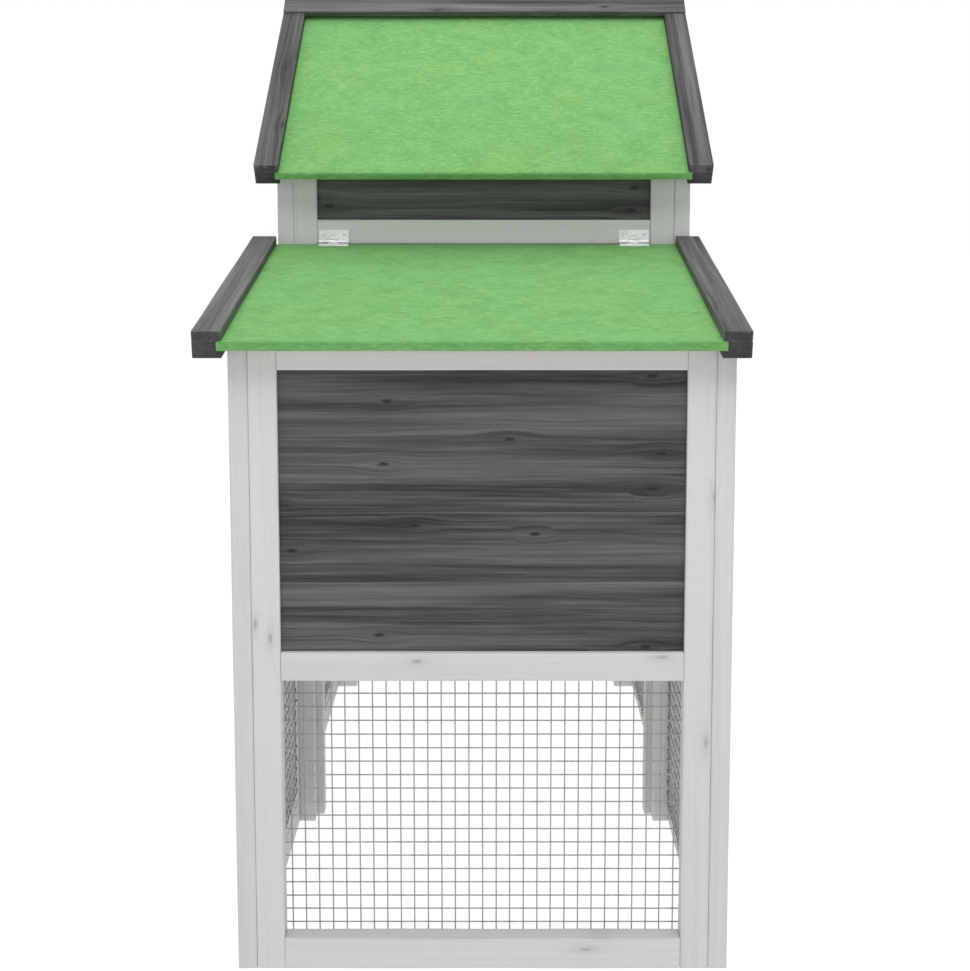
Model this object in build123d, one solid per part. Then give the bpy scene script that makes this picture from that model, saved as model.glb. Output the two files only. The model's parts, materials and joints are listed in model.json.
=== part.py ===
from build123d import *
import math
import os

# A two-storey rabbit hutch in wood: a tall middle tower with a gable roof, and a lower wing
# on each side whose felted roof is hinged to the tower wall and lifts like a lid.
# X runs along the hutch, from the left wing to the right wing. -Y is the front, with the doors.
# Z is up, and z = 0 is the ground. Lengths are in millimetres and angles in degrees.
# Every stick and board is a plain straight-sided solid, cut to the roof's slope where needed.

# ---- driving dimensions ----
DEPTH = 580.0  # body, front face to back face
TOWER_LENGTH = 528.0  # outside of the two tower side frames
WING_LENGTH = 400.0  # tower side to the outer face of the end frame
OVERALL_LENGTH = 1400.0  # over both wing roofs
STICK = 33.0  # width of a frame stick
THICK = 22.5  # thickness of a frame stick
PLANK = 9.0  # thickness of wall planks and floor boards
PLANK_RECESS = 6.0  # wall planks stand this far behind the outer face of their frame
BOTTOM_RAIL = 38.0
FLOOR_TOP = 387.0  # top of the middle rails and of the upper floor
MID_RAIL = 34.0
END_HEIGHT = 751.5
TOWER_DOOR_HEAD = 838.0  # underside of the rail that carries the roof hinges
HINGE_RAIL = 34.0
SIDE_FRAME_TOP = 968.5
LID_GAP = 0.5  # closed wing roof above the frames

# ---- wire mesh ----
MESH_PITCH = 16.4  # from one wire to the next
WIRE = 1.4
MESH_LAP = 10.0  # how far the mesh runs over the back of its frame

# ---- roofs: capping strip on top, felt and board let into the batten below it ----
WING_PITCH = 10.9
WING_ROOF_TOP = 852.0  # top line of the capping strips where it meets the tower wall
TOWER_PITCH = 37.3
EAVE_OUT = 64.4  # tower eave beyond the tower wall
EAVE_TOP = 949.0
ROOF_WIDTH = 625.0
WING_FRONT_OVERHANG = 33.5
STRIP_WIDTH = 33.0
CAP_STRIP = 12.5
FELT = 2.0
ROOF_BOARD = 8.0
BATTEN_DEPTH = 19.7
REBATE = 5.3  # how far the sheet runs under the capping strip
SHEET_PAST_END = 2.4
LID_START = 10.7  # distance down the slope from the wall line to the lid's capping strips
SHEET_START = 9.0
RIDGE_TOP = 1209.0
RIDGE_LEG = 24.0  # ridge board leg, measured level
RIDGE_THICK = 10.0

# ---- hinges ----
HINGE_WIDTH = 42.0
LEAF = 16.4
LEAF_THICK = 1.2
PIN_HEIGHT = 2.8  # pin axis above the surface that a leaf lies on
KNUCKLE = 2.6
PIN = 1.5
PIN_CLEARANCE = 0.05
LEAF_START = 3.0  # leaf's straight edge, clear of the other leaf's knuckles
KNUCKLE_GAP = 0.15
ROOF_HINGE_Y = 211.0

# ---- doors and their bolts ----
DOOR_GAP = 2.0
WINDOW_SILL = 596.0  # underside of the upper door's middle rail
BAR = 6.0  # square bolt bar
BAR_CLEARANCE = 0.3
GUIDE_LENGTH = 31.0
GUIDE_HEIGHT = 20.0
LOOP_LENGTH = 5.0
LOOP_WALL = 2.0
BOLT_TRAVEL = 12.0
KNOB = 6.0
KNOB_HEIGHT = 9.0

# ---- doorways between the rooms, hatch and ramp ----
DOORWAY = 150.0
DOORWAY_HEAD = 650.0
HATCH_EDGE = -50.0
HATCH_FRONT = 60.0
HATCH_BACK = 230.0
RAMP_PITCH = 40.0
RAMP_MARGIN = 5.0  # ramp's edges inside the hatch
RAMP_START = 12.0
RAMP_LENGTH = 564.0
RAMP_BOARD = 10.0
TREAD_WIDTH = 14.0
TREAD_HEIGHT = 8.0
TREAD_SPACING = 60.0

# ---- worked out from them ----
FRONT = -DEPTH / 2
BACK = DEPTH / 2
INSIDE = BACK - THICK
SIDE = TOWER_LENGTH / 2
END = SIDE + WING_LENGTH
MID_BOTTOM = FLOOR_TOP - MID_RAIL
SHEET_BOTTOM = CAP_STRIP + FELT + ROOF_BOARD
TRIM_BOTTOM = CAP_STRIP + BATTEN_DEPTH
WING_TAN = math.tan(math.radians(WING_PITCH))
WING_COS = math.cos(math.radians(WING_PITCH))
WING_SIN = math.sin(math.radians(WING_PITCH))
TOWER_TAN = math.tan(math.radians(TOWER_PITCH))
TOWER_COS = math.cos(math.radians(TOWER_PITCH))
EAVE_X = SIDE + EAVE_OUT
RIDGE_LINE = EAVE_TOP + TOWER_TAN * EAVE_X
WING_FRONT_EDGE = FRONT - WING_FRONT_OVERHANG
# The roofs overhang more at the front than at the back, so the body stands a little behind
# the origin, which is the middle of the whole hutch on the ground.
SHIFT_Y = -(WING_FRONT_EDGE + ROOF_WIDTH / 2) / 2

SIDES = {"right": 1, "left": -1}


def save(name, solids):
    """Write one sub-part, moved from the body's centre to the hutch's origin."""
    moved = [Pos(0, SHIFT_Y, 0) * solid for solid in solids]
    export_step(Compound(moved), f"parts/{name}.step")


def block(x, y, z):
    """Straight block between two values on each axis, given in either order."""
    size = [abs(pair[1] - pair[0]) for pair in (x, y, z)]
    centre = [(pair[0] + pair[1]) / 2 for pair in (x, y, z)]
    return Pos(*centre) * Solid.make_box(*size, Plane((-size[0] / 2, -size[1] / 2, -size[2] / 2)))


def prism(side, outline, y):
    """Solid with an outline in X and Z, carried along Y. side -1 mirrors it to the left."""
    corners = [(side * x, min(y), z) for x, z in outline]
    face = Face(Wire.make_polygon(corners, close=True))
    return Solid.extrude(face, Vector(0, abs(y[1] - y[0]), 0))


def both(pair):
    """The same span of Y on the front and the back half."""
    return (pair, (-pair[1], -pair[0]))


def wing_line(x, below):
    """Height of a line parallel to the wing roof, a distance square to the slope below its top."""
    return WING_ROOF_TOP - WING_TAN * (x - SIDE) - below / WING_COS


def tower_line(x, below):
    """Height of a line parallel to the tower roof, a distance square to the slope below its top."""
    return RIDGE_LINE - TOWER_TAN * x - below / TOWER_COS


def wire_starts(span):
    """Where each wire of a span starts: evenly spaced, the last one ending where the span does."""
    gaps = round((span[1] - span[0] - WIRE) / MESH_PITCH)
    step = (span[1] - span[0] - WIRE) / gaps
    return [span[0] + number * step for number in range(gaps + 1)]


def mesh_sheet(place, u, v):
    """Square welded mesh: upright wires on the back of a frame, and level wires across them.
    place turns distances along the frame, up it and away from its back into a point."""
    wires = []
    for along in wire_starts(u):
        wires.append((place(along, v[0], 0), place(along + WIRE, v[1], WIRE)))
    for up in wire_starts(v):
        wires.append((place(u[0], up, WIRE), place(u[1], up + WIRE, 2 * WIRE)))
    return [block(*zip(low, high)) for low, high in wires]


def courses(low, high, count):
    """Split a height into equal plank courses."""
    step = (high - low) / count
    return [(low + step * index, low + step * (index + 1)) for index in range(count)]


# ---- end walls of the wings ----


def end_frame(side):
    """Two stiles standing on the ground, with bottom, middle and top rails between them."""
    x = (side * (END - THICK), side * END)
    stiles = [block(x, y, (0, END_HEIGHT)) for y in both((INSIDE - STICK, INSIDE))]
    heights = [(0, BOTTOM_RAIL), (MID_BOTTOM, FLOOR_TOP), (END_HEIGHT - STICK, END_HEIGHT)]
    opening = INSIDE - STICK
    return stiles + [block(x, (-opening, opening), z) for z in heights]


def end_planks(side):
    """Planks of the end wall, above the middle rail."""
    x = (side * (END - PLANK_RECESS - PLANK), side * (END - PLANK_RECESS))
    opening = INSIDE - STICK
    return [block(x, (-opening, opening), z) for z in courses(FLOOR_TOP, END_HEIGHT - STICK, 4)]


def end_mesh(side):
    """Mesh on the inner face of the end frame, below the middle rail."""
    reach = INSIDE - STICK + MESH_LAP
    height = (BOTTOM_RAIL - MESH_LAP, MID_BOTTOM + MESH_LAP)

    def place(along, up, inward):
        return (side * (END - THICK - inward), along, up)

    return mesh_sheet(place, (-reach, reach), height)


# ---- front and back walls of the wings ----


def wing_wall_frame(side, y, roof_depth):
    """Stiles, bottom and middle rails, and a sloping top rail under the roof."""
    inner = (SIDE, SIDE + STICK)
    outer = (END - STICK, END)
    rail = (SIDE + STICK, END - STICK)
    clear = roof_depth + LID_GAP * WING_COS

    def stick(span, drop):
        outline = [(span[0], 0), (span[1], 0)]
        outline += [(span[1], wing_line(span[1], drop)), (span[0], wing_line(span[0], drop))]
        return prism(side, outline, y)

    top_rail = [(x, wing_line(x, clear + STICK)) for x in rail]
    top_rail += [(x, wing_line(x, clear)) for x in reversed(rail)]
    x = (side * rail[0], side * rail[1])
    rails = [block(x, y, (0, BOTTOM_RAIL)), block(x, y, (MID_BOTTOM, FLOOR_TOP))]
    return [stick(inner, clear), stick(outer, clear), prism(side, top_rail, y)] + rails


def wing_wall_planks(side, y, roof_depth):
    """Four level courses and a top course cut to the roof's slope."""
    rail = (SIDE + STICK, END - STICK)
    last = 700.0
    x = (side * rail[0], side * rail[1])
    clear = roof_depth + LID_GAP * WING_COS + STICK
    sloping = [(rail[0], last), (rail[1], last)]
    sloping += [(rail[1], wing_line(rail[1], clear)), (rail[0], wing_line(rail[0], clear))]
    return [block(x, y, z) for z in courses(FLOOR_TOP, last, 4)] + [prism(side, sloping, y)]


# ---- tower walls ----


def tower_wall_frame(y):
    """Stiles cut to the gable, a bottom rail, a middle rail and a rail over the door."""
    solids = []
    for side in SIDES.values():
        span = (SIDE - STICK, SIDE)
        outline = [(span[0], 0), (span[1], 0)]
        outline += [(x, tower_line(x, TRIM_BOTTOM)) for x in reversed(span)]
        solids.append(prism(side, outline, y))
    opening = (-SIDE + STICK, SIDE - STICK)
    heights = [(0, BOTTOM_RAIL), (MID_BOTTOM, FLOOR_TOP)]
    heights.append((TOWER_DOOR_HEAD, TOWER_DOOR_HEAD + HINGE_RAIL))
    return solids + [block(opening, y, z) for z in heights]


def gable_planks(y):
    """Level courses over the door rail, the upper ones cut to the roof's slope."""
    low = TOWER_DOOR_HEAD + HINGE_RAIL
    shoulder = tower_line(SIDE - STICK, TRIM_BOTTOM)
    peak = tower_line(0, TRIM_BOTTOM) - 9.0
    opening = (-SIDE + STICK, SIDE - STICK)
    solids = [block(opening, y, z) for z in courses(low, shoulder, 2)]
    for z in courses(shoulder, peak, 3):
        half = [(tower_line(0, TRIM_BOTTOM) - height) / TOWER_TAN for height in z]
        outline = [(-half[0], z[0]), (half[0], z[0]), (half[1], z[1]), (-half[1], z[1])]
        solids.append(prism(1, outline, y))
    return solids


def tower_side_frame(side):
    """Stiles to the ground with an open passage below; middle, hinge and top rails."""
    x = (side * (SIDE - THICK), side * SIDE)
    stiles = [block(x, y, (0, SIDE_FRAME_TOP)) for y in both((INSIDE - STICK, INSIDE))]
    opening = INSIDE - STICK
    heights = [(MID_BOTTOM, FLOOR_TOP), (TOWER_DOOR_HEAD, TOWER_DOOR_HEAD + HINGE_RAIL)]
    heights.append((SIDE_FRAME_TOP - STICK, SIDE_FRAME_TOP))
    return stiles + [block(x, (-opening, opening), z) for z in heights]


def tower_side_planks(side):
    """Partition with a doorway into the wing, and the plank over the wing roof."""
    x = (side * (SIDE - PLANK_RECESS - PLANK), side * (SIDE - PLANK_RECESS))
    opening = INSIDE - STICK
    half = DOORWAY / 2
    solids = []
    for y in courses(half, opening, 2):
        solids += [block(x, pair, (FLOOR_TOP, TOWER_DOOR_HEAD)) for pair in both(y)]
    solids += [block(x, (-half, half), z) for z in courses(DOORWAY_HEAD, TOWER_DOOR_HEAD, 2)]
    top = (TOWER_DOOR_HEAD + HINGE_RAIL, SIDE_FRAME_TOP - STICK)
    return solids + [block(x, (-opening, opening), top)]


# ---- floors, posts and back mesh ----


def corner_battens():
    """Short posts and floor bearers inside the walls."""
    solids = []
    bearer_top = FLOOR_TOP - PLANK
    for side in SIDES.values():
        for y in both((INSIDE - THICK, INSIDE)):
            post = (side * SIDE, side * (SIDE + THICK))
            solids.append(block(post, y, (0, bearer_top - THICK)))
            wing = (side * SIDE, side * (END - THICK - 2 * WIRE))
            solids.append(block(wing, y, (bearer_top - THICK, bearer_top)))
    for y in both((INSIDE - THICK, INSIDE)):
        solids.append(block((-SIDE + THICK, SIDE - THICK), y, (bearer_top - THICK, bearer_top)))
    hatch = (HATCH_EDGE, HATCH_EDGE + THICK)
    solids.append(block(hatch, (-INSIDE + THICK, INSIDE - THICK), (bearer_top - THICK, bearer_top)))
    return solids


def floor_boards():
    """Upper floor: boards along each wing, and boards across the tower round the ramp's hatch."""
    z = (FLOOR_TOP - PLANK, FLOOR_TOP)
    solids = []
    for side in SIDES.values():
        x = (side * SIDE, side * (END - THICK))
        solids += [block(x, y, z) for y in courses(-INSIDE, INSIDE, 5)]
    inner = SIDE - THICK
    solids += [block(x, (-INSIDE, INSIDE), z) for x in courses(HATCH_EDGE, inner, 3)]
    for x in courses(-inner, HATCH_EDGE, 2):
        solids += [block(x, (-INSIDE, HATCH_FRONT), z), block(x, (HATCH_BACK, INSIDE), z)]
    return solids


def back_mesh():
    """Mesh on the inner face of the three back frames, below the middle rail."""
    height = (BOTTOM_RAIL - MESH_LAP, MID_BOTTOM - 1.0)
    bays = [(SIDE + STICK - MESH_LAP, END - STICK + MESH_LAP)]
    bays.append((-bays[0][1], -bays[0][0]))
    tower = SIDE - STICK + MESH_LAP
    bays.append((-tower, tower))

    def place(along, up, inward):
        return (along, INSIDE - inward, up)

    return [wire for bay in bays for wire in mesh_sheet(place, bay, height)]


# ---- roofs ----


def slope_prism(side, origin, pitch, corners, y):
    """Solid from corners given as distance down the slope and depth square to it."""
    c = math.cos(math.radians(pitch))
    s = math.sin(math.radians(pitch))
    outline = [(origin[0] + run * c - deep * s, origin[1] - run * s - deep * c) for run, deep in corners]
    return prism(side, outline, y)


def sheet_edges(low_y, high_y):
    """Y of the sheet's two edges, let into the battens."""
    inset = STRIP_WIDTH - REBATE
    return (low_y + inset, high_y - inset)


def batten(side, origin, pitch, start, end, y, rebate_at_high):
    """Edge batten with a rebate along its inner top corner, which the sheet lies in."""
    full = slope_corners(start, end, CAP_STRIP, TRIM_BOTTOM)
    sheet = slope_corners(start, end, CAP_STRIP, SHEET_BOTTOM)
    whole = slope_prism(side, origin, pitch, full, y)
    notch_y = (y[1] - REBATE, y[1]) if rebate_at_high else (y[0], y[0] + REBATE)
    return (whole - slope_prism(side, origin, pitch, sheet, notch_y)).solid()


def slope_corners(start, end, top, bottom):
    """Corners of a strip. start gives the run for a depth, so that a ridge can be mitred."""
    return [(start(top), top), (end, top), (end, bottom), (start(bottom), bottom)]


def roof_edges(low_y):
    """Y spans of the front and the back strips of a roof whose front edge is at low_y."""
    high_y = low_y + ROOF_WIDTH
    return ((low_y, low_y + STRIP_WIDTH), (high_y - STRIP_WIDTH, high_y))


def wing_roof(side):
    """Lid of a wing: board, felt on it, and the strips along its front and back edges."""
    origin = (SIDE, WING_ROOF_TOP)
    front, back = roof_edges(WING_FRONT_EDGE)
    sheet_y = sheet_edges(front[0], back[1])
    end = (OVERALL_LENGTH / 2 - SIDE) / WING_COS
    sheet_end = end + SHEET_PAST_END

    def strip_start(depth):
        return LID_START

    def sheet_start(depth):
        return SHEET_START

    top = CAP_STRIP + FELT
    felt = slope_corners(sheet_start, sheet_end, CAP_STRIP, top)
    board = slope_corners(sheet_start, sheet_end, top, SHEET_BOTTOM)
    cap = slope_corners(strip_start, end, 0, CAP_STRIP)
    trim = [slope_prism(side, origin, WING_PITCH, cap, y) for y in (front, back)]
    trim.append(batten(side, origin, WING_PITCH, strip_start, end, front, True))
    trim.append(batten(side, origin, WING_PITCH, strip_start, end, back, False))
    return {
        "board": [slope_prism(side, origin, WING_PITCH, board, sheet_y)],
        "felt": [slope_prism(side, origin, WING_PITCH, felt, sheet_y)],
        "trim": trim,
    }


def ridge_boards():
    """Two boards mitred together over the ridge, at 45 degrees."""
    edge = RIDGE_THICK / math.sqrt(2)
    outline = [(0, RIDGE_TOP), (RIDGE_LEG, RIDGE_TOP - RIDGE_LEG)]
    outline += [(RIDGE_LEG - edge, RIDGE_TOP - RIDGE_LEG - edge), (0, RIDGE_TOP - 2 * edge)]
    y = (-ROOF_WIDTH / 2, ROOF_WIDTH / 2)
    return [prism(side, outline, y) for side in SIDES.values()]


def tower_roof():
    """Gable roof: board, felt and edge strips on both slopes, mitred at the ridge."""
    origin = (0, RIDGE_LINE)
    front, back = roof_edges(-ROOF_WIDTH / 2)
    sheet_y = sheet_edges(front[0], back[1])
    end = EAVE_X / TOWER_COS
    sheet_end = end + SHEET_PAST_END
    ridge = ridge_boards()

    def mitre(depth):
        return depth * TOWER_TAN

    top = CAP_STRIP + FELT
    felt = slope_corners(mitre, sheet_end, CAP_STRIP, top)
    board = slope_corners(mitre, sheet_end, top, SHEET_BOTTOM)
    cap = slope_corners(mitre, end, 0, CAP_STRIP)
    parts = {"board": [], "felt": [], "trim": [], "ridge": ridge}
    for side, ridge_board in zip(SIDES.values(), ridge):
        parts["board"].append(slope_prism(side, origin, TOWER_PITCH, board, sheet_y))
        parts["felt"].append(slope_prism(side, origin, TOWER_PITCH, felt, sheet_y))
        for y in (front, back):
            strip = slope_prism(side, origin, TOWER_PITCH, cap, y)
            parts["trim"].append((strip - ridge_board).solid())
        parts["trim"].append(batten(side, origin, TOWER_PITCH, mitre, end, front, True))
        parts["trim"].append(batten(side, origin, TOWER_PITCH, mitre, end, back, False))
    return parts


# ---- hinges ----


def hinge_leaf(pin, axis, reach, outward, fixed):
    """One leaf of a butt hinge. reach points from the pin along the leaf, outward away from
    the surface it lies on. The fixed leaf has the two end knuckles and the pin, and the
    moving leaf has the middle knuckle, bored to turn on it."""
    frame = Plane(origin=pin, x_dir=reach, z_dir=axis)
    turn = 1 if frame.y_dir.dot(Vector(*outward)) > 0 else -1
    y = (-turn * PIN_HEIGHT, -turn * (PIN_HEIGHT - LEAF_THICK))
    third = HINGE_WIDTH / 6
    half = HINGE_WIDTH / 2
    if fixed:
        zones = [(-half, -third - KNUCKLE_GAP), (third + KNUCKLE_GAP, half)]
    else:
        zones = [(-third + KNUCKLE_GAP, third - KNUCKLE_GAP)]
    leaf = block((LEAF_START, LEAF), y, (-half, half))
    for zone in zones:
        length = zone[1] - zone[0]
        leaf = leaf + block((0, LEAF_START), y, zone)
        leaf = leaf + Pos(0, 0, zone[0]) * Solid.make_cylinder(KNUCKLE, length)
    if fixed:
        leaf = leaf + Pos(0, 0, -half) * Solid.make_cylinder(PIN, HINGE_WIDTH)
    else:
        leaf = leaf - Pos(0, 0, -half) * Solid.make_cylinder(PIN + PIN_CLEARANCE, HINGE_WIDTH)
    return (frame.location * leaf).solid()


def wing_roof_hinges(side):
    """Fixed leaves on the tower's hinge rail, and moving leaves on the roof's upper edge."""
    x = SIDE + PIN_HEIGHT
    z = wing_line(x, CAP_STRIP - PIN_HEIGHT)
    slope = (side * WING_COS, 0, -WING_SIN)
    normal = (side * WING_SIN, 0, WING_COS)
    fixed = []
    moving = []
    for y in (-ROOF_HINGE_Y, ROOF_HINGE_Y):
        pin = (side * x, y, z)
        fixed.append(hinge_leaf(pin, (0, 1, 0), (0, 0, 1), (side, 0, 0), True))
        moving.append(hinge_leaf(pin, (0, 1, 0), slope, normal, False))
    return fixed, moving


def door_hinges(side, pin_x, heights):
    """Hinges on the front face. side 1 has the door to the right of its pin."""
    fixed = []
    moving = []
    for z in heights:
        pin = (pin_x, FRONT - PIN_HEIGHT, z)
        fixed.append(hinge_leaf(pin, (0, 0, 1), (-side, 0, 0), (0, -1, 0), True))
        moving.append(hinge_leaf(pin, (0, 0, 1), (side, 0, 0), (0, -1, 0), False))
    return fixed, moving


# ---- doors ----


def door_frame(x, z):
    """Two stiles and two rails, flush with the wall's front face."""
    y = (FRONT, FRONT + THICK)
    stiles = [block((x[0], x[0] + STICK), y, z), block((x[1] - STICK, x[1]), y, z)]
    rail = (x[0] + STICK, x[1] - STICK)
    rails = [block(rail, y, (z[0], z[0] + STICK)), block(rail, y, (z[1] - STICK, z[1]))]
    return stiles + rails


def door_mesh(x, z):
    """Mesh on the inner face of a door, over the opening that x and z give."""

    def place(along, up, inward):
        return (along, FRONT + THICK + inward, up)

    return mesh_sheet(place, (x[0] - MESH_LAP, x[1] + MESH_LAP), (z[0] - MESH_LAP, z[1] + MESH_LAP))


def bolt_loop(x, z):
    """Bridge and two legs that the bolt's bar slides through."""
    bar = BAR / 2 + BAR_CLEARANCE
    plate = FRONT - LEAF_THICK
    inner = plate - BAR - 2 * BAR_CLEARANCE
    solids = [block(x, (plate, inner), (z + sign * bar, z + sign * (bar + LOOP_WALL))) for sign in (-1, 1)]
    reach = bar + LOOP_WALL
    return solids + [block(x, (inner, inner - LOOP_WALL), (z - reach, z + reach))]


def door_bolt(way, edge, z):
    """Bolt on a door's free edge, drawn back. way is the direction along X that locks it."""
    start = edge - way * (GUIDE_LENGTH + 1.0)
    height = (z - GUIDE_HEIGHT / 2, z + GUIDE_HEIGHT / 2)
    plate = (FRONT - LEAF_THICK, FRONT)

    def span(low, high):
        return (start + way * low, start + way * high)

    guide = [block(span(0, GUIDE_LENGTH), plate, height)]
    guide += bolt_loop(span(0, LOOP_LENGTH), z)
    guide += bolt_loop(span(GUIDE_LENGTH - LOOP_LENGTH, GUIDE_LENGTH), z)
    low = FRONT - LEAF_THICK - BAR_CLEARANCE
    bar = block(span(-BOLT_TRAVEL - 1, GUIDE_LENGTH), (low, low - BAR), (z - BAR / 2, z + BAR / 2))
    knob_at = start + way * (LOOP_LENGTH + 0.8 + KNOB / 2)
    knob_plane = Plane(origin=(knob_at, low - BAR, z), z_dir=(0, -1, 0))
    knob = Solid.make_cylinder(KNOB / 2, KNOB_HEIGHT, knob_plane)
    keeper_start = GUIDE_LENGTH + 1.0 + DOOR_GAP
    keeper = [block(span(keeper_start + 1, keeper_start + 13), plate, height)]
    keeper += bolt_loop(span(keeper_start + 2, keeper_start + 2 + LOOP_LENGTH), z)
    return guide, [bar, knob], keeper


# ---- ramp ----


def ramp():
    """Board with treads, hung by two hinges from the bearer at the hatch, foot on the ground."""
    c = math.cos(math.radians(RAMP_PITCH))
    s = math.sin(math.radians(RAMP_PITCH))
    pin_x = HATCH_EDGE - PIN_HEIGHT
    pin_z = FLOOR_TOP - PLANK - 5.0
    width = (HATCH_FRONT + RAMP_MARGIN, HATCH_BACK - RAMP_MARGIN)

    def strip(run, rise, y):
        corners = []
        for along, up in ((run[0], rise[0]), (run[1], rise[0]), (run[1], rise[1]), (run[0], rise[1])):
            corners.append((pin_x - along * c - up * s, pin_z - along * s + up * c))
        return prism(1, corners, y)

    top = -PIN_HEIGHT
    board = strip((RAMP_START, RAMP_LENGTH), (top - RAMP_BOARD, top), width)
    treads = []
    run = RAMP_START + TREAD_SPACING
    while run < RAMP_LENGTH - TREAD_SPACING / 2:
        treads.append(strip((run, run + TREAD_WIDTH), (top, top + TREAD_HEIGHT), width))
        run += TREAD_SPACING
    fixed = []
    moving = []
    for y in (width[0] + HINGE_WIDTH, width[1] - HINGE_WIDTH):
        pin = (pin_x, y, pin_z)
        fixed.append(hinge_leaf(pin, (0, 1, 0), (0, 0, -1), (-1, 0, 0), True))
        moving.append(hinge_leaf(pin, (0, 1, 0), (-c, 0, -s), (-s, 0, c), False))
    return board, treads, fixed, moving


# ---- writing every sub-part ----


def write_walls():
    front = (FRONT, FRONT + THICK)
    back = (BACK - THICK, BACK)
    front_planks = (FRONT + PLANK_RECESS, FRONT + PLANK_RECESS + PLANK)
    back_planks = (BACK - PLANK_RECESS - PLANK, BACK - PLANK_RECESS)
    wing_planks = []
    rear_planks = []
    for name, side in SIDES.items():
        save(f"end_frame_{name}", end_frame(side))
        save(f"end_planks_{name}", end_planks(side))
        save(f"end_mesh_{name}", end_mesh(side))
        save(f"wing_front_frame_{name}", wing_wall_frame(side, front, SHEET_BOTTOM))
        save(f"wing_back_frame_{name}", wing_wall_frame(side, back, TRIM_BOTTOM))
        save(f"tower_side_frame_{name}", tower_side_frame(side))
        save(f"tower_side_planks_{name}", tower_side_planks(side))
        wing_planks += wing_wall_planks(side, front_planks, SHEET_BOTTOM)
        rear_planks += wing_wall_planks(side, back_planks, TRIM_BOTTOM)
    opening = (-SIDE + STICK, SIDE - STICK)
    rear_planks += [block(opening, back_planks, z) for z in courses(FLOOR_TOP, TOWER_DOOR_HEAD, 5)]
    save("wing_front_planks", wing_planks)
    save("back_planks", rear_planks)
    save("gable_planks", gable_planks(front_planks) + gable_planks(back_planks))
    save("tower_front_frame", tower_wall_frame(front))
    save("tower_back_frame", tower_wall_frame(back))
    save("back_mesh", back_mesh())
    save("corner_battens", corner_battens())
    save("floor_boards", floor_boards())


def write_roofs():
    roof_plates = []
    for name, side in SIDES.items():
        parts = wing_roof(side)
        fixed, moving = wing_roof_hinges(side)
        roof_plates += fixed
        for part, solids in parts.items():
            save(f"wing_roof_{part}_{name}", solids)
        save(f"wing_roof_hinge_leaves_{name}", moving)
    save("roof_hinge_plates", roof_plates)
    parts = tower_roof()
    for part in ("board", "felt", "trim"):
        save(f"tower_roof_{part}", parts[part])
    save("ridge_boards", parts["ridge"])


def write_doors():
    lower = (BOTTOM_RAIL + DOOR_GAP, MID_BOTTOM - DOOR_GAP)
    upper = (FLOOR_TOP + DOOR_GAP, TOWER_DOOR_HEAD - DOOR_GAP)
    tower_x = (-SIDE + STICK + DOOR_GAP, SIDE - STICK - DOOR_GAP)
    right_x = (SIDE + STICK + DOOR_GAP, END - STICK - DOOR_GAP)
    left_x = (-right_x[1], -right_x[0])
    # name: span in X, span in Z, side of the door's pin, way that the bolt locks
    doors = {
        "upper": (tower_x, upper, 1, 1),
        "lower": (tower_x, lower, 1, 1),
        "left": (left_x, lower, 1, 1),
        "right": (right_x, lower, -1, -1),
    }
    plates = []
    keepers = []
    for name, (x, z, side, way) in doors.items():
        frame = door_frame(x, z)
        window = (z[0] + STICK, z[1] - STICK)
        inner = (x[0] + STICK, x[1] - STICK)
        if name == "upper":
            frame.append(block(inner, (FRONT, FRONT + THICK), (WINDOW_SILL, WINDOW_SILL + STICK)))
            planks = (FRONT + PLANK_RECESS, FRONT + PLANK_RECESS + PLANK)
            boards = [block(inner, planks, part) for part in courses(window[0], WINDOW_SILL, 2)]
            save("door_planks_upper", boards)
            window = (WINDOW_SILL + STICK, window[1])
        edge = x[1] if side == 1 else x[0]
        pin_x = x[0] - DOOR_GAP / 2 if side == 1 else x[1] + DOOR_GAP / 2
        inset = STICK + HINGE_WIDTH / 2
        fixed, moving = door_hinges(side, pin_x, (z[0] + inset, z[1] - inset))
        guide, bolt, keeper = door_bolt(way, edge, (z[0] + z[1]) / 2)
        plates += fixed
        keepers += keeper
        save(f"door_frame_{name}", frame)
        save(f"door_mesh_{name}", door_mesh(inner, window))
        save(f"door_hardware_{name}", moving + guide)
        save(f"door_bolt_{name}", bolt)
    board, treads, fixed, moving = ramp()
    save("ramp_board", [board])
    save("ramp_treads", treads)
    save("ramp_hinge_leaves", moving)
    save("door_hinge_plates", plates + fixed)
    save("bolt_keepers", keepers)


os.makedirs("parts", exist_ok=True)
write_walls()
write_roofs()
write_doors()
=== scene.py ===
import json
import math
import zlib

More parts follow.
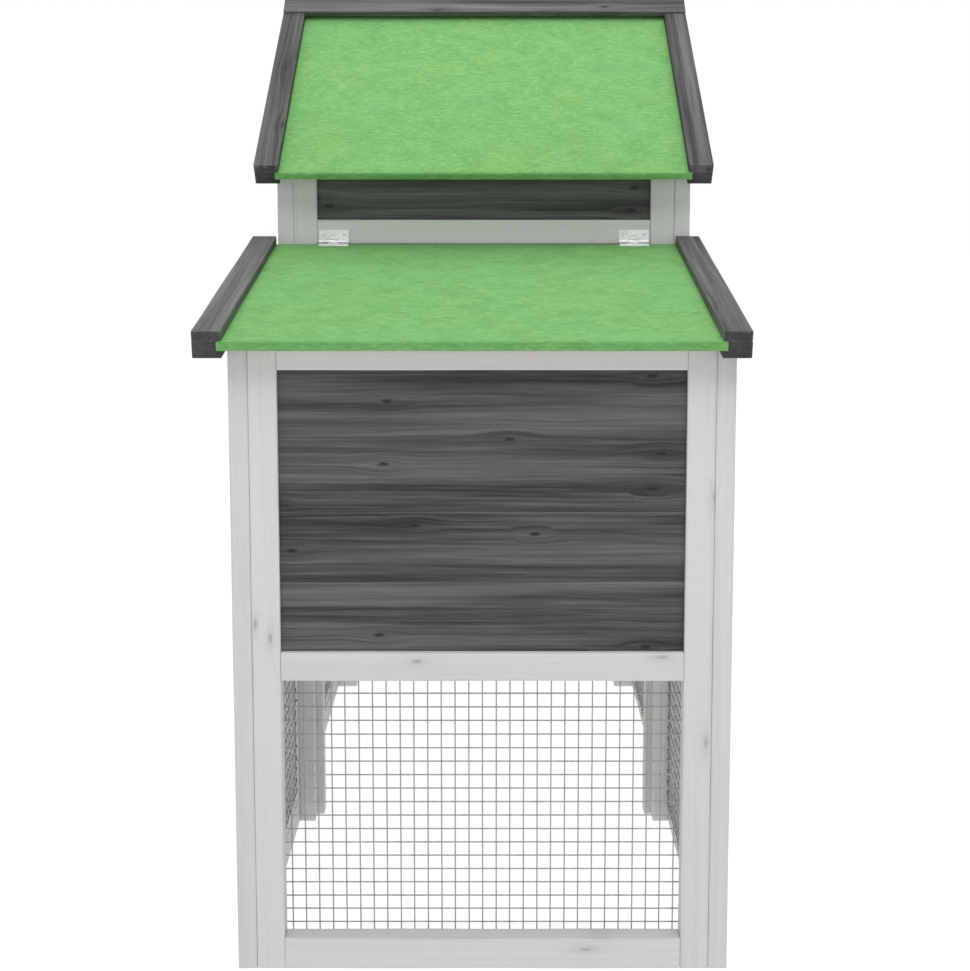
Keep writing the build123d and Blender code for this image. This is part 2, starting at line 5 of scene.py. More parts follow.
import bmesh
import bpy
import numpy as np
from bpy.props import FloatProperty, FloatVectorProperty, IntProperty, PointerProperty
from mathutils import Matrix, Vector


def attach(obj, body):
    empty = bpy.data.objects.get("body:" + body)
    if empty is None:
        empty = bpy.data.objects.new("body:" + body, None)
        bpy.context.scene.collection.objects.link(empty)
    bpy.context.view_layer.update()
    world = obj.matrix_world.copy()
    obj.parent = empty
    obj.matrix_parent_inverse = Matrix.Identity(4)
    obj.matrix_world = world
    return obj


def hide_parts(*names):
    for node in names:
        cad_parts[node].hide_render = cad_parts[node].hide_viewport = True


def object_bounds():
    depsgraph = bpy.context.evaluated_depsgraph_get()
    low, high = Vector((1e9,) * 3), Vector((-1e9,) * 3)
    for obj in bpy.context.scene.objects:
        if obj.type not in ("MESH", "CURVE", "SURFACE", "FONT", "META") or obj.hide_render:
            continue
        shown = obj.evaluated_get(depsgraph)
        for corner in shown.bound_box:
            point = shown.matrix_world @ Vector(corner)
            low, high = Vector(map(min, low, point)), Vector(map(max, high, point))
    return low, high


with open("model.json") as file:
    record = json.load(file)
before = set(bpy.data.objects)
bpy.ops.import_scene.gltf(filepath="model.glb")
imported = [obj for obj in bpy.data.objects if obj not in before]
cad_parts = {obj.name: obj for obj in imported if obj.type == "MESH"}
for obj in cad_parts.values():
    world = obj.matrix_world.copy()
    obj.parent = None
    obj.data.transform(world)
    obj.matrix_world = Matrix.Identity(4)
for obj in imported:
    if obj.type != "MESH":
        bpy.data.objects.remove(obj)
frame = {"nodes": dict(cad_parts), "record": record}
CAD_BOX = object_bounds()

bl_info = {
    "name": "Rabbit hutch",
    "version": (1, 0, 0),
    "blender": (4, 5, 0),
    "location": "View3D > Sidebar > Hutch",
    "description": "Finishes a two-storey rabbit hutch: timber, felt roofs, wire mesh, hinges and bolts",
    "category": "Object",
}

RECORD = frame["record"]
BODY_OF = {node: body for body, nodes in RECORD["behaviour"]["bodies"].items() for node in nodes}
SLOT_OF = {part["node"]: part["material_slot"] for part in RECORD["subparts"]}


def nodes_named(*beginnings):
    """The CAD nodes whose names start in one of these ways, in order."""
    return [node for node in sorted(SLOT_OF) if node.startswith(beginnings)]


# ---- settings ----


def amount(name, about, value, **more):
    """A number setting."""
    return FloatProperty(name=name, description=about, default=value, **more)


def metres(name, about, value):
    """A length setting."""
    return amount(name, about, value, subtype="DISTANCE", unit="LENGTH")


def colour(name, about, value):
    """A colour setting."""
    return FloatVectorProperty(name=name, description=about, default=value, subtype="COLOR",
                               size=3, min=0.0, max=1.0)


class HutchSizes(bpy.types.PropertyGroup):
    """Sizes of the detail that is added to the frame."""

    stick_edge: metres("Stick edge", "Radius of a frame stick's planed edges", 0.0013)
    board_edge: metres("Board edge", "Radius of a board's edges", 0.0009)
    metal_edge: metres("Metal edge", "Width of the bevel on stamped metal", 0.00028)
    felt_wave: metres("Felt wave", "How far the roofing felt rises and falls", 0.00035)
    felt_bend: metres("Felt bend", "Radius of the felt's fold over the eave", 0.0032)
    felt_lip: metres("Felt lip", "How far the felt hangs down over the eave", 0.0102)
    eave_room: metres("Eave room", "How far roof boards stop short, for the felt's fold", 0.0021)
    screw_radius: metres("Screw head", "Radius of a hinge screw's head", 0.0025)
    staple_step: metres("Staple step", "Distance between the staples that hold the mesh", 0.085)
    staple_width: metres("Staple width", "Width of a staple's crown", 0.0085)
    seed: IntProperty(name="Seed", description="Start of the random draws", default=11, min=0)


class HutchColours(bpy.types.PropertyGroup):
    """Colours of the finishes."""

    wash: colour("Pale wash", "Washed sticks", (0.62, 0.62, 0.62))
    wash_dark: colour("Pale wash, grain", "Darker grain under the wash", (0.47, 0.47, 0.467))
    stain: colour("Dark stain", "Stained boards, dark grain", (0.022, 0.022, 0.022))
    stain_light: colour("Dark stain, streaks", "Stained boards, light streaks", (0.158, 0.158, 0.157))
    fir: colour("Plain fir", "Bare boards", (0.56, 0.47, 0.36))
    fir_dark: colour("Plain fir, grain", "Late wood of bare boards", (0.38, 0.29, 0.20))
    felt: colour("Felt", "Roofing felt", (0.188, 0.405, 0.142))
    felt_dark: colour("Felt, hollows", "Roofing felt between its fibres", (0.100, 0.275, 0.075))
    zinc: colour("Zinc plate", "Hinges and bolts", (0.83, 0.835, 0.84))
    wire: colour("Galvanised wire", "Mesh wires and staples", (0.40, 0.405, 0.41))
    floor: colour("Floor", "Studio floor", (0.20, 0.20, 0.20))


class HutchStage(bpy.types.PropertyGroup):
    """Camera and light."""

    distance: metres("Distance", "From the lid's edge to the camera", 1.565)
    height: metres("Height", "Height of the camera", 0.9598)
    aside: metres("Aside", "How far the camera is off the middle", 0.0152)
    lens: amount("Lens", "Focal length", 52.7, unit="CAMERA")
    pitch: amount("Pitch", "How far the camera looks down", math.radians(5.78), subtype="ANGLE")
    key_power: amount("Key light", "Power of the main soft light", 62.0, unit="POWER")
    fill_power: amount("Fill light", "Power of the side lights", 26.0, unit="POWER")
    sky: amount("Sky", "Strength of the pale surroundings", 1.0)
    overhead: amount("Overhead", "The same, high above", 0.2)


# ---- shader nodes ----

MIDDLE = (0.5, 0.5, 0.5)  # the colour that a colour noise varies around
KNOT_CELLS = (6.5, 19.0, 0.0)  # cells per metre along, across and through, each with one knot at most
KNOT_BOW = (0.0, 0.045, 0.0)  # how far the grain bows around a knot, across the stick
WASHED_KNOT = (0.24, 0.225, 0.21)
WASHED_KNOT_RIM = (0.36, 0.345, 0.33)
STAINED_KNOT = (0.010, 0.010, 0.010)
FIR_KNOT = (0.11, 0.055, 0.028)
FIR_KNOT_RIM = (0.20, 0.11, 0.06)
FELT_COOL = (0.135, 0.385, 0.15)
FELT_WARM = (0.20, 0.39, 0.105)
ZINC_SHADE = (0.64, 0.65, 0.66)
WIRE_SHADE = (0.28, 0.28, 0.29)
FLOOR_GLOW = 0.94  # enough for the floor to come out white


class Reading:
    """A value that varies over a surface. Its operators add Math nodes."""

    def __init__(self, finish, socket):
        self.finish = finish
        self.socket = socket

    def math(self, operation, first, second):
        return self.finish.add("ShaderNodeMath", {"operation": operation}, {0: first, 1: second})

    def __add__(self, other):
        return self.math("ADD", self, other)

    def __sub__(self, other):
        return self.math("SUBTRACT", self, other)

    def __mul__(self, other):
        return self.math("MULTIPLY", self, other)

    def __rsub__(self, other):
        return self.math("SUBTRACT", other, self)

    __radd__ = __add__
    __rmul__ = __mul__


class Finish:
    """The nodes of one material."""

    def __init__(self, name):
        self.material = bpy.data.materials.new(name)
        self.material.use_nodes = True
        self.nodes = self.material.node_tree.nodes
        self.links = self.material.node_tree.links
        self.nodes.clear()

    def add(self, kind, settings, sockets, output=0):
        """Adds a node, sets it up, fills its sockets, and returns one output as a Reading."""
        node = self.nodes.new(kind)
        for name, value in settings.items():
            setattr(node, name, value)
        for name, value in sockets.items():
            if isinstance(value, Reading):
                self.links.new(value.socket, node.inputs[name])
            else:
                node.inputs[name].default_value = value
        return Reading(self, node.outputs[output])

    def attribute(self, name, output="Fac"):
        return self.add("ShaderNodeAttribute", {"attribute_name": name}, {}, output)

    def vector(self, operation, first, second):
        return self.add("ShaderNodeVectorMath", {"operation": operation}, {0: first, 1: second})

    def noise(self, place, scale, detail=2.0, output="Fac"):
        """Noise with its own scale along, across and through the piece, in cells per metre."""
        sockets = {"Vector": self.vector("MULTIPLY", place, scale), "Scale": 1.0, "Detail": detail}
        return self.add("ShaderNodeTexNoise", {}, sockets, output)

    def cells(self, place, scale, dimensions="3D", randomness=1.0):
        """A cell pattern: the distance to a cell's centre, the centre, and the cell's own draw."""
        settings = {"voronoi_dimensions": dimensions}
        sockets = {"Vector": place, "Scale": scale, "Randomness": randomness}
        distance = self.add("ShaderNodeTexVoronoi", settings, sockets, "Distance")
        outputs = distance.socket.node.outputs
        centre = Reading(self, outputs["Position"])
        draw = self.add("ShaderNodeSeparateColor", {}, {0: Reading(self, outputs["Color"])})
        return distance, centre, draw

    def smooth(self, value, low, high):
        """0 below low, 1 above high, and a smooth step between them."""
        sockets = {"Value": value, "From Min": low, "From Max": high}
        return self.add("ShaderNodeMapRange", {"interpolation_type": "SMOOTHSTEP"}, sockets)

    def mix(self, share, first, second):
        """Blend of two colours."""
        sockets = {0: share}
        for socket, value in ((6, first), (7, second)):
            sockets[socket] = value if isinstance(value, Reading) else (*value, 1.0)
        return self.add("ShaderNodeMix", {"data_type": "RGBA"}, sockets, 2)

    def surface(self, base, roughness, height, distance, strength, **others):
        """The Principled shader over a bump map, and the output. Returns the material."""
        relief = {"Height": height, "Distance": distance, "Strength": strength}
        normal = self.add("ShaderNodeBump", {}, relief)
        sockets = {"Base Color": base, "Roughness": roughness, "Normal": normal}
        sockets.update({name.replace("_", " "): value for name, value in others.items()})
        shader = self.add("ShaderNodeBsdfPrincipled", {}, sockets)
        output = self.nodes.new("ShaderNodeOutputMaterial")
        self.links.new(shader.socket, output.inputs["Surface"])
        return self.material


class Timber:
    """The marks that all the timber has, read from the grain attribute of its pieces: how far
    a point is along the stick, across it and through it, from the middle of its tree."""

    def __init__(self, finish, wander, ring_width, knots):
        grain = finish.attribute("grain", "Vector")
        cells = finish.vector("MULTIPLY", grain, KNOT_CELLS)
        distance, centre, chosen = finish.cells(cells, 1.0, "2D", 0.9)
        ragged = finish.noise(grain, (150.0, 700.0, 300.0), 1.0)
        distance = distance + (ragged - 0.5) * 0.05
        chosen = finish.smooth(chosen, 1.0 - knots, 1.02 - knots)
        self.near_knot = (1.0 - finish.smooth(distance, 0.03, 0.34)) * chosen
        self.knot = (1.0 - finish.smooth(distance, 0.018, 0.062)) * chosen
        self.knot_edge = (1.0 - finish.smooth(distance, 0.06, 0.15)) * chosen - self.knot
        drift = finish.noise(grain, (2.2, 13.0, 13.0), 2.0, "Color")
        drift = finish.vector("SUBTRACT", drift, MIDDLE)
        drift = finish.vector("MULTIPLY", drift, (0.0, wander, wander))
        away = finish.vector("MULTIPLY", finish.vector("SUBTRACT", centre, cells), KNOT_BOW)
        sockets = {0: away, "Scale": self.near_knot}
        push = finish.add("ShaderNodeVectorMath", {"operation": "SCALE"}, sockets)
        self.place = finish.vector("ADD", finish.vector("ADD", grain, drift), push)
        self.broad = finish.noise(self.place, (1.1, 30.0, 30.0), 2.0)
        self.bands = finish.noise(self.place, (1.6, 85.0, 85.0), 3.0)
        self.streaks = finish.noise(self.place, (5.5, 280.0, 280.0), 4.0)
        self.fibres = finish.noise(self.place, (26.0, 1100.0, 1100.0), 3.0)
        section = finish.vector("MULTIPLY", self.place, (0.0, 1.0, 1.0))
        radius = finish.add("ShaderNodeVectorMath", {"operation": "LENGTH"}, {0: section}, "Value")
        angle = radius * (2 * math.pi / ring_width)
        turn = finish.add("ShaderNodeMath", {"operation": "SINE"}, {0: angle})
        self.rings = finish.smooth(turn, 0.1, 0.95)
        self.tone = finish.attribute("tone")
        self.worn = finish.attribute("worn")
        self.end = finish.attribute("end")


def washed_wood(colours):
    """Pale wash over planed sticks: the grain only just shows, and the edges are thinner."""
    finish = Finish("white_washed_wood_finish")
    timber = Timber(finish, 0.009, 0.0046, 0.24)
    mark = finish.smooth(timber.bands, 0.38, 0.70) * 0.20 + finish.smooth(timber.fibres, 0.45, 0.75) * 0.16
    mark = mark + timber.rings * 0.07 + timber.near_knot * 0.18 + timber.tone * 0.07
    mark = mark + timber.worn * finish.smooth(timber.streaks, 0.42, 0.62) * 0.35 + timber.end * 0.22
    base = finish.mix(mark, colours.wash, colours.wash_dark)
    base = finish.mix(timber.knot * 0.55, base, WASHED_KNOT)
    base = finish.mix(timber.knot_edge * 0.16, base, WASHED_KNOT_RIM)
    height = timber.fibres * 0.5 + timber.rings * 0.18 + timber.streaks * 0.35 - timber.knot * 0.3
    rough = 0.62 + timber.fibres * 0.16
    return finish.surface(base, rough, height, 0.00035, 0.55, Specular_IOR_Level=0.35)


def stained_wood(colours):
    """Dark stain that the open grain takes unevenly: light streaks, dark lines, small knots."""
    finish = Finish("grey_stained_wood_finish")
    timber = Timber(finish, 0.012, 0.0052, 0.55)
    light = finish.smooth(timber.broad, 0.38, 0.60) * 0.32 + finish.smooth(timber.bands, 0.38, 0.64) * 0.28
    light = light + finish.smooth(timber.streaks, 0.44, 0.70) * 0.26
    light = light + finish.smooth(timber.fibres, 0.42, 0.72) * 0.14 - timber.rings * 0.08
    light = light + timber.worn * 0.14 + timber.tone * 0.05 - timber.near_knot * 0.05
    light = light * (1.0 - timber.end * 0.72) + timber.end * timber.rings * 0.10
    base = finish.mix(light, colours.stain, colours.stain_light)
    base = finish.mix(timber.knot * 0.85, base, STAINED_KNOT)
    height = timber.fibres * 0.5 + timber.streaks * 0.6 - timber.rings * 0.25 - timber.knot * 0.5
    rough = 0.74 - timber.fibres * 0.18
    return finish.surface(base, rough, height, 0.0005, 0.7, Specular_IOR_Level=0.3)


def plain_wood(colours):
    """Bare fir, with rings, resin streaks and brown knots."""
    finish = Finish("plain_wood_finish")
    timber = Timber(finish, 0.010, 0.0055, 0.35)
    mark = timber.rings * 0.36 + finish.smooth(timber.bands, 0.40, 0.75) * 0.30 + timber.fibres * 0.22
    mark = mark + timber.tone * 0.14 + timber.near_knot * 0.20 + timber.worn * 0.10 + timber.end * 0.30
    base = finish.mix(mark, colours.fir, colours.fir_dark)
    base = finish.mix(timber.knot * 0.85, base, FIR_KNOT)
    base = finish.mix(timber.knot_edge * 0.5, base, FIR_KNOT_RIM)
    height = timber.fibres * 0.5 + timber.rings * 0.3 + timber.streaks * 0.3
    rough = 0.66 + timber.fibres * 0.14
    return finish.surface(base, rough, height, 0.0004, 0.6, Specular_IOR_Level=0.35)


def roofing_felt(colours):
    """Matt bitumen felt: pressed fibres that lie mostly across the slope, and soft blotches. A band of
    painted shade darkens it round its fold over the eave.
    """
    finish = Finish("roofing_felt_finish")
    place = finish.attribute("grain", "Vector")
    bend = finish.vector("SUBTRACT", finish.noise(place, (30.0, 30.0, 30.0), 2.0, "Color"), MIDDLE)
    place = finish.vector("ADD", place, finish.vector("MULTIPLY", bend, (0.012, 0.012, 0.012)))
    blotch = finish.noise(place, (9.0, 9.0, 9.0), 3.0)
    patch = finish.noise(place, (34.0, 26.0, 34.0), 2.0)
    strands = finish.noise(place, (430.0, 78.0, 430.0), 2.0)
    crossing = finish.noise(place, (95.0, 330.0, 330.0), 2.0)
    grit = finish.noise(place, (1500.0, 1500.0, 1500.0), 1.0)
    fold = finish.attribute("fold")
    dark = 0.42 - finish.smooth(strands, 0.52, 0.68) * 0.46
    dark = dark + (1.0 - finish.smooth(strands, 0.30, 0.46)) * 0.34
    dark = dark - finish.smooth(crossing, 0.56, 0.74) * 0.30 + finish.smooth(patch, 0.35, 0.70) * 0.26
    # fold is painted shade: a darker band round the bend over the eave
    dark = dark + (grit - 0.5) * 0.40 + fold * 0.40
    base = finish.mix(dark, colours.felt, colours.felt_dark)
    base = finish.mix(finish.smooth(blotch, 0.44, 0.70) * 0.22, base, FELT_COOL)
    base = finish.mix((1.0 - finish.smooth(blotch, 0.30, 0.48)) * 0.20, base, FELT_WARM)
    height = strands * 0.7 + crossing * 0.4 + grit * 0.35
    rough = 0.84 + grit * 0.12
    return finish.surface(base, rough, height, 0.0006, 0.6, Specular_IOR_Level=0.22)


def metal(name, tint, dull, shade):
    """Zinc on steel: a faint spangle, fine scratches, and duller patches. dull is its least
    roughness, and shade the darker colour of the spangle."""
    finish = Finish(name)
    place = finish.add("ShaderNodeTexCoord", {}, {}, "Object")
    spangle = finish.cells(place, 260.0)[2]
    scratch = finish.noise(place, (240.0, 1900.0, 1900.0), 2.0)
    patch = finish.noise(place, (55.0, 55.0, 55.0), 3.0)
    cloud = finish.smooth(patch, 0.45, 0.75)
    base = finish.mix(spangle * 0.30 + cloud * 0.25 + scratch * 0.20, tint, shade)
    rough = dull + spangle * 0.10 + cloud * 0.10 + scratch * 0.12
    height = scratch * 0.6 + spangle * 0.4
    return finish.surface(base, rough, height, 0.00008, 0.5, Metallic=0.9)


def floor_paint(colours):
    """A pale studio floor that is lit from below, with a barely visible mottle."""
    finish = Finish("studio_floor")
    place = finish.add("ShaderNodeTexCoord", {}, {}, "Object")
    mottle = finish.noise(place, (3.0, 3.0, 3.0), 3.0)
    base = finish.mix(mottle * 0.25, colours.floor, tuple(0.97 * part for part in colours.floor))
    rough = 0.85 + mottle * 0.1
    return finish.surface(base, rough, mottle, 0.0002, 0.1, Specular_IOR_Level=0.1,
                          Emission_Color=(1.0, 1.0, 1.0, 1.0), Emission_Strength=FLOOR_GLOW)


MAKERS = {
    "white_washed_wood": washed_wood,
    "grey_stained_wood": stained_wood,
    "plain_wood": plain_wood,
    "roofing_felt": roofing_felt,
    "zinc_plate": lambda colours: metal("zinc_plate_finish", colours.zinc, 0.26, ZINC_SHADE),
    "galvanised_mesh": lambda colours: metal("galvanised_mesh_finish", colours.wire, 0.40, WIRE_SHADE),
}


def finish_for(slot):
    """The material of a slot, made the first time that it is asked for."""
    return bpy.data.materials.get(f"{slot}_finish") or MAKERS[slot](bpy.context.scene.hutch_colours)


# ---- reading the frame ----

MICRON = 1e-6
MICRONS = 1e6  # in a metre
ON_PLANE = 5e-5  # how far off a face's plane a corner of it may lie
ALIKE = 0.99  # cosine above which two normals count as the same
END_GRAIN = 0.2  # cosine above which a face looks along the grain


def unit(vectors):
    """The same directions, with length one."""
    return vectors / np.linalg.norm(vectors, axis=-1, keepdims=True)


def solids_of(node):
    """The separate closed solids of a CAD node, as (corner points, triangles). The triangles come
    solid after solid, and a solid is whole when each of its edges has been met from both sides."""
    mesh = frame["nodes"][node].data
    points = np.empty(len(mesh.vertices) * 3, np.float32)
    mesh.vertices.foreach_get("co", points)
    corners = np.empty(len(mesh.loops), np.int32)
    mesh.loops.foreach_get("vertex_index", corners)
    rounded = np.round(points.reshape(-1, 3).astype(float) * MICRONS)
    points, merged = np.unique(rounded, axis=0, return_inverse=True)
    triangles = merged.reshape(-1)[corners].reshape(-1, 3)
    found = []
    start = 0
    open_edges = set()
    for number, (a, b, c) in enumerate(triangles.tolist(), 1):
        for low, high in ((a, b), (b, c), (c, a)):
            if (high, low) in open_edges:
                open_edges.remove((high, low))
            else:
                open_edges.add((low, high))
        if not open_edges:
            used, renumbered = np.unique(triangles[start:number], return_inverse=True)
            found.append((points[used] * MICRON, renumbered.reshape(-1, 3)))
            start = number
    return found


def facets(points, triangles):
    """A flat-sided solid's faces, as loops of corner numbers in order, and their normals.
    Triangles on the plane of a bigger one make one face with it, and the face's loop is the
    edges that it has only once."""
    a, b, c = (points[triangles[:, k]] for k in range(3))
    normals = np.cross(b - a, c - a)
    order = np.argsort(-np.linalg.norm(normals, axis=1))
    triangles = triangles[order]
    normals = unit(normals[order])
    off_plane = ((points[triangles][None] - a[order][:, None, None]) * normals[:, None, None]).sum(-1)
    same = (normals @ normals.T > ALIKE) & (abs(off_plane).max(-1) < ON_PLANE)
    owner = same.argmax(0)
    loops = []
    for number in np.unique(owner):
        after = {}
        edges = [(t[k], t[(k + 1) % 3]) for t in triangles[owner == number].tolist() for k in range(3)]
        for low, high in edges:
            if (high, low) not in edges:
                after[low] = high
        loop = [min(after)]
        while after[loop[-1]] != loop[0]:
            loop.append(after[loop[-1]])
        loops.append((loop, normals[number]))
    return loops


def section_ends(points, loops):
    """The two ends of a prism, corner matched to corner: the faces with the most corners or,
    on a six-sided solid, the two that are furthest apart."""
    most = max(len(loop) for loop, _ in loops)
    ends = [loop for loop, _ in loops if len(loop) == most]
    pairs = [(a, b) for a in ends for b in ends if a < b and not set(a) & set(b)]

    def distance(pair):
        return np.linalg.norm(points[pair[0]].mean(0) - points[pair[1]].mean(0))

    near, far = max(pairs, key=distance)
    edges = [(loop[k], loop[(k + 1) % len(loop)]) for loop, _ in loops for k in range(len(loop))]
    partner = {low: high for low, high in edges if low in near and high in far}
    return points[near], points[[partner[corner] for corner in near]]


def grain_axes(points, loops):
    """Directions along the grain, across it and through the piece: the longest edge, and the
    normal of the broadest face that holds it."""
    edges = [points[loop[k]] - points[loop[k - 1]] for loop, _ in loops for k in range(len(loop))]
    along = unit(max(edges, key=np.linalg.norm))

    def breadth(face):
        loop, normal = face
        corners = points[loop]
        twice_area = np.linalg.norm(np.cross(corners, np.roll(corners, -1, 0)).sum(0))
        return twice_area * (abs(normal @ along) < END_GRAIN)

    through = max(loops, key=breadth)[1]
    through = unit(through - along * (through @ along))
    return np.array([along, np.cross(through, along), through])


# ---- surfaces ----

ARC_STEPS = 3  # points round an edge
GUARD = 0.0016  # a row of points this far in from a rounded edge bounds its wear
END_TURNS = np.radians([0.0, 32.0, 62.0, 90.0])  # rows of points round the edge of an end face
ROW_STEP = 0.055  # longest distance between two rows of points
LARGEST_ROUNDING = 0.12  # of the narrowest side, and of the length
LEAST_ROUNDING = 0.3  # of the radius, where an edge is at its sharpest
EDGE_WEAR = ((0.32, 0.041), (0.20, 0.0137))  # share of the radius, and metres along in one radian
ASKEW = (0.31, 0.52, 0.79)  # a direction that no wire has


def rows_along(length, radius):
    """How far along a prism each row of points lies, and how far it is drawn in: a quarter circle
    at both ends, a = r (1 - cos t) and d = r (1 - sin t), and even steps between them."""
    round_end = radius * (1 - np.cos(END_TURNS))
    drawn_in = radius * (1 - np.sin(END_TURNS))
    middle = np.linspace(radius, length - radius, max(2, math.ceil(length / ROW_STEP)))[1:-1]
    at = np.concatenate([round_end, middle, length - round_end[::-1]])
    return at, np.concatenate([drawn_in, 0 * middle, drawn_in[::-1]])


def eased_prism(near, far, radius, draw):
    """A stick or board with worn, rounded edges, as (points, quads, caps, worn, end). worn is 1 on
    the edges, and end is 1 on the two end faces.

    Its section is carried from the near end to the far end. At share t of the way the corners
    are C(t) = (1 - t) near + t far. A corner moves in by d along its mitre m, then a circle of
    radius r is set into it: point(f) = C + (d + r) m - r n(f), where n(f) swings from one side's
    inward normal to the next's, and in a hollow corner r's sign turns. Near the ends d follows
    a quarter circle, and r varies along the length as two sines with random phases."""
    length = np.linalg.norm((far - near).mean(0))
    sides = np.linalg.norm(np.roll(near, -1, 0) - near, axis=1).min()
    radius = min(radius, LARGEST_ROUNDING * sides, LARGEST_ROUNDING * length)
    at, inset = rows_along(length, radius)
    share = (at / length)[:, None, None]
    corners = (1 - share) * near + share * far
    axis = unit(np.cross(corners, np.roll(corners, -1, 1)).sum(1))
    leaving = np.roll(corners, -1, 1) - corners
    reach = np.linalg.norm(leaving, axis=2)
    leaving = unit(leaving)
    inward_out = np.cross(axis[:, None, :], leaving)
    inward_in = np.roll(inward_out, 1, 1)
    arriving = np.roll(leaving, 1, 1)
    cosine = np.clip((inward_in * inward_out).sum(2), -0.999, 0.999)
    mitre = (inward_in + inward_out) / (1 + cosine)[:, :, None]
    hollow = np.where((np.cross(arriving, leaving) * axis[:, None, :]).sum(2) < 0, -1.0, 1.0)
    phase = draw.uniform(0, 2 * math.pi, (2, 1, len(near)))
    wear = 1
    for (share_worn, span), start in zip(EDGE_WEAR, phase):
        wear = wear + share_worn * np.sin(at[:, None] / span + start)
    circle = np.maximum(radius * wear - inset[:, None], LEAST_ROUNDING * radius)
    swing = np.arccos(cosine)[:, :, None]
    steps = np.linspace(0, 1, ARC_STEPS)[None, None, :]
    first = (np.sin((1 - steps) * swing) / np.sin(swing))[..., None]
    second = (np.sin(steps * swing) / np.sin(swing))[..., None]
    normal = first * inward_in[:, :, None] + second * inward_out[:, :, None]
    moved = corners + inset[:, None, None] * mitre
    centre = moved + (hollow * circle)[..., None] * mitre
    arc = centre[:, :, None] - (hollow * circle)[..., None, None] * normal
    guard = np.minimum(GUARD, 0.2 * np.minimum(reach, np.roll(reach, 1, 1)))[..., None]
    before = arc[:, :, :1] - (guard * arriving)[:, :, None]
    after = arc[:, :, -1:] + (guard * leaving)[:, :, None]
    rings = np.concatenate([before, arc, after], 2)
    end = np.zeros(rings.shape[:3])
    end[[0, -1]] = 1.0
    worn = np.ones(end.shape)
    worn[2:-2, :, [0, -1]] = 0.0
    worn[[0, -1]] = 0.0
    return rings.reshape(-1, 3), *skin(len(at), end[0].size), worn.reshape(-1), end.reshape(-1)


def skin(rings, count):
    """Quads between closed rings of points, and the two flat ends."""
    number = np.arange(rings * count).reshape(rings, count)
    after = np.roll(number, -1, 1)
    quads = np.stack([number[:-1], number[1:], after[1:], after[:-1]], -1).reshape(-1, 4)
    return quads, [number[0].tolist(), number[-1][::-1].tolist()]


def around(count):
    """Angles at even steps round a circle."""
    return np.linspace(0, 2 * math.pi, count, endpoint=False)


def tube(start, end, radius, sides):
    """A straight wire: a circle of the given radius carried from start to end."""
    along = unit(end - start)
    side = unit(np.cross(along, ASKEW))
    angle = around(sides)[:, None]
    circle = radius * (np.cos(angle) * side - np.sin(angle) * np.cross(along, side))
    return np.concatenate([start + circle, end + circle]), *skin(2, sides)


def add_object(name, data):
    """Puts an object into the scene."""
    made = bpy.data.objects.new(name, data)
    bpy.context.scene.collection.objects.link(made)
    return made


class Piece:
    """Gathers surfaces into one mesh object that stands for a CAD node or rides with one."""

    def __init__(self, name, node):
        self.name = name
        self.node = node
        self.points = []
        self.faces = []
        self.values = {}
        self.count = 0

    def add(self, points, quads, others=(), **values):
        """Adds points, an array of four-sided faces, and a list of any other faces. values holds
        an attribute's value at each point."""
        self.points.append(points)
        self.faces += (quads + self.count).tolist()
        self.faces += [[corner + self.count for corner in face] for face in others]
        for name, value in values.items():
            self.values.setdefault(name, []).append(value)
        self.count += len(points)

    def make(self, replaces=True, crease=40.0):
        """Makes the finished object, at the origin, riding on the node's body."""
        mesh = bpy.data.meshes.new(self.name)
        mesh.from_pydata(np.concatenate(self.points).tolist(), [], self.faces)
        for name, parts in self.values.items():
            value = np.concatenate(parts)
            kind, field = ("FLOAT_VECTOR", "vector") if value.ndim == 2 else ("FLOAT", "value")
            attribute = mesh.attributes.new(name, kind, "POINT")
            attribute.data.foreach_set(field, value.ravel().astype(np.float32))
        place_piece(mesh, self.node, replaces, crease)


def place_piece(mesh, node, replaces, crease):
    """Makes an object of a mesh, gives it its finish, and hangs it on the body of a CAD node. Edges
    sharper than crease, in degrees, stay sharp."""
    mesh.validate()
    mesh.polygons.foreach_set("use_smooth", [True] * len(mesh.polygons))
    mesh.set_sharp_from_angle(angle=math.radians(crease))
    slot = SLOT_OF[node]
    mesh.materials.append(finish_for(slot))
    piece = add_object(mesh.name, mesh)
    if replaces:
        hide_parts(node)
    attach(piece, BODY_OF[node])
    return piece


def draws_for(name):
    """Random draws of a piece's own, the same in every run."""
    return np.random.default_rng([bpy.context.scene.hutch_sizes.seed, zlib.crc32(name.encode())])


def timber_piece(node, suffix, radius, reshape):
    """Every solid of a CAD node as a worn prism with its own grain. Each comes from its own place
    in a tree: pith is where the tree's middle lies from the stick's."""
    draw = draws_for(node)
    piece = Piece(f"{node}_{suffix}", node)
    for points, triangles in solids_of(node):
        if reshape is not None:
            points = reshape(points)
        loops = facets(points, triangles)
        near, far = section_ends(points, loops)
        surface, quads, caps, worn, end = eased_prism(near, far, radius, draw)
        axes = grain_axes(points, loops)
        pith = np.array([draw.uniform(0, 20), draw.uniform(-0.05, 0.05), draw.uniform(0.018, 0.075)])
        grain = (surface - points.mean(0)) @ axes.T + pith
        tone = np.full(len(surface), np.clip(draw.normal(0, 1), -2, 2))
        piece.add(surface, quads, caps, grain=grain, tone=tone, worn=worn, end=end)
    piece.make()


def timber_pieces(suffix, radius, *beginnings, reshape=None):
    """A timber piece for each CAD node whose name starts in one of these ways."""
    for node in nodes_named(*beginnings):
        timber_piece(node, suffix, radius, reshape)


# ---- felt ----

RUN_ROWS = 76  # rows of points down a slope
TURN_ROWS = 6  # round its fold
LIP_ROWS = 4  # and down its lip
FELT_COLUMNS = 101
FLAT_RIM = 0.008  # strip along a felt's side edges that the capping strips hold flat
FOLD_SHADE_REACH = 0.0022  # reach of the painted shade round the fold's bend
